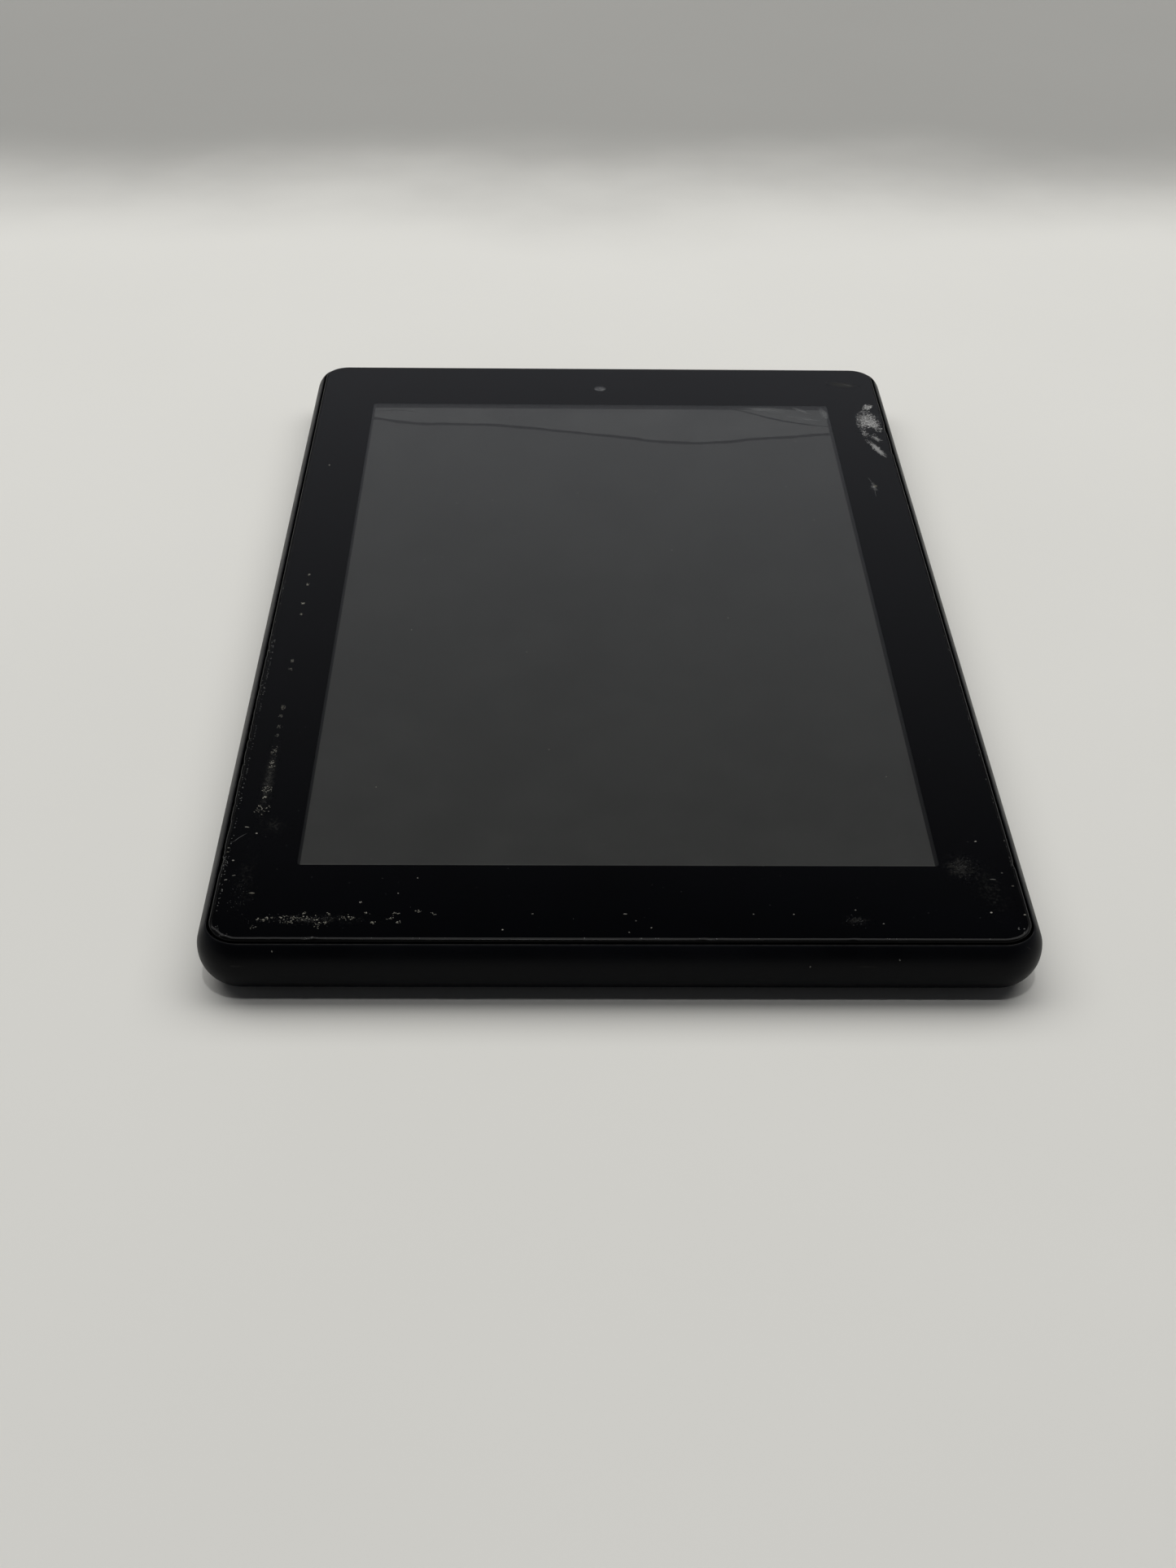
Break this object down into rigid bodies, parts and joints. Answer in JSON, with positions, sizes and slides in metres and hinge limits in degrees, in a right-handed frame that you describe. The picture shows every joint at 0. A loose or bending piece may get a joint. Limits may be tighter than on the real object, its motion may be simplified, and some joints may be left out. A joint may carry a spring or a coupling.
{
  "type": "e-reader tablet",
  "caption": "Slim hand-held reading tablet with a glass front in a rolled plastic shell, working buttons, a card door, sockets and its full inner build.",
  "frame": {"origin": "centre of the flat back face, on the surface the tablet lies on", "axes": "+X towards the right-hand long side seen from the front, +Y towards the camera end, +Z out of the screen"},
  "size_m": [0.115, 0.1923, 0.0096],
  "materials": {
    "shell_plastic": "fine satin moulded black plastic",
    "button_plastic": "satin black plastic, slightly polished by fingers",
    "cover_glass": "polished, scratched and chipped at the edges",
    "border_print": "black screen print on the back of the glass",
    "screen_film": "dark grey polariser film, switched off",
    "frame_plastic": "glass-filled plastic",
    "display_glass": "thin etched glass",
    "optical_film": "pearly optical film",
    "white_plastic": "white moulded plastic",
    "steel": "pressed tinned steel",
    "flex_foil": "amber polyimide foil",
    "circuit_board": "green solder mask",
    "chip_resin": "black moulding resin",
    "ceramic": "fired ceramic with tinned ends",
    "contact_gold": "gold-plated",
    "cream_plastic": "cream connector plastic",
    "soft_rubber": "soft moulded rubber",
    "thermal_putty": "soft grey-blue pad",
    "adhesive": "black foam tape",
    "cell_foil": "aluminium laminate pouch",
    "speaker_mesh": "fine woven mesh",
    "cable_skin": "thin insulated wire",
    "camera_module": "black module body with a small lens"
  },
  "bodies": {
    "tablet": {"rear_shell": "shell_plastic", "mid_frame": "frame_plastic", "cover_glass": "cover_glass", "glass_border_print": "border_print", "glass_adhesive": "adhesive", "front_polariser": "screen_film", "filter_glass": "display_glass", "tft_glass": "display_glass", "rear_polariser": "screen_film", "driver_chip": "chip_resin", "prism_film": "optical_film", "diffuser_film": "optical_film", "light_guide": "optical_film", "reflector_sheet": "optical_film", "led_strip": "flex_foil", "backlight_frame": "white_plastic", "backlight_pan": "steel", "display_flex": "flex_foil", "touch_flex": "flex_foil", "touch_chip": "chip_resin", "main_board": "circuit_board", "processor_chip": "chip_resin", "memory_chip": "chip_resin", "storage_chip": "chip_resin", "power_chip": "chip_resin", "wireless_chip": "chip_resin", "processor_shield": "steel", "wireless_shield": "steel", "thermal_pad": "thermal_putty", "board_parts": "ceramic", "board_connectors": "cream_plastic", "board_screws": "steel", "usb_socket": "steel", "usb_tongue": "chip_resin", "headphone_socket": "chip_resin", "headphone_tails": "contact_gold", "card_socket": "steel", "microphone": "steel", "microphone_boot": "soft_rubber", "power_switch": "steel", "volume_switches": "steel", "battery_cell": "cell_foil", "battery_tape": "adhesive", "battery_board": "circuit_board", "battery_lead": "cable_skin", "speaker_box": "chip_resin", "speaker_cone": "chip_resin", "speaker_mesh": "speaker_mesh", "speaker_lead": "cable_skin", "front_camera": "camera_module", "front_camera_socket": "chip_resin", "rear_camera": "camera_module", "rear_camera_window": "cover_glass", "wireless_antenna": "flex_foil", "antenna_cable": "cable_skin"},
    "power_key": {"power_button": "button_plastic"},
    "volume_key": {"volume_rocker": "button_plastic"},
    "card_flap": {"card_door": "shell_plastic"}
  },
  "joints": [
    {"name": "power_press", "type": "slide", "parent": "tablet", "child": "power_key", "axis": [0, -1, 0], "range_m": [0, 0.0003], "stiffness_N_per_m": 1200, "springref_m": -0.0006},
    {"name": "volume_rock", "type": "hinge", "parent": "tablet", "child": "volume_key", "pos_m": [-0.022, 0.09365, 0.0059], "axis": [0, 0, 1], "range_deg": [-2, 2], "stiffness_Nm_per_rad": 0.02},
    {"name": "card_door_swing", "type": "hinge", "parent": "tablet", "child": "card_flap", "pos_m": [0.05695, 0.05935, 0.0047], "axis": [0, 0, -1], "range_deg": [0, 90]}
  ]
}
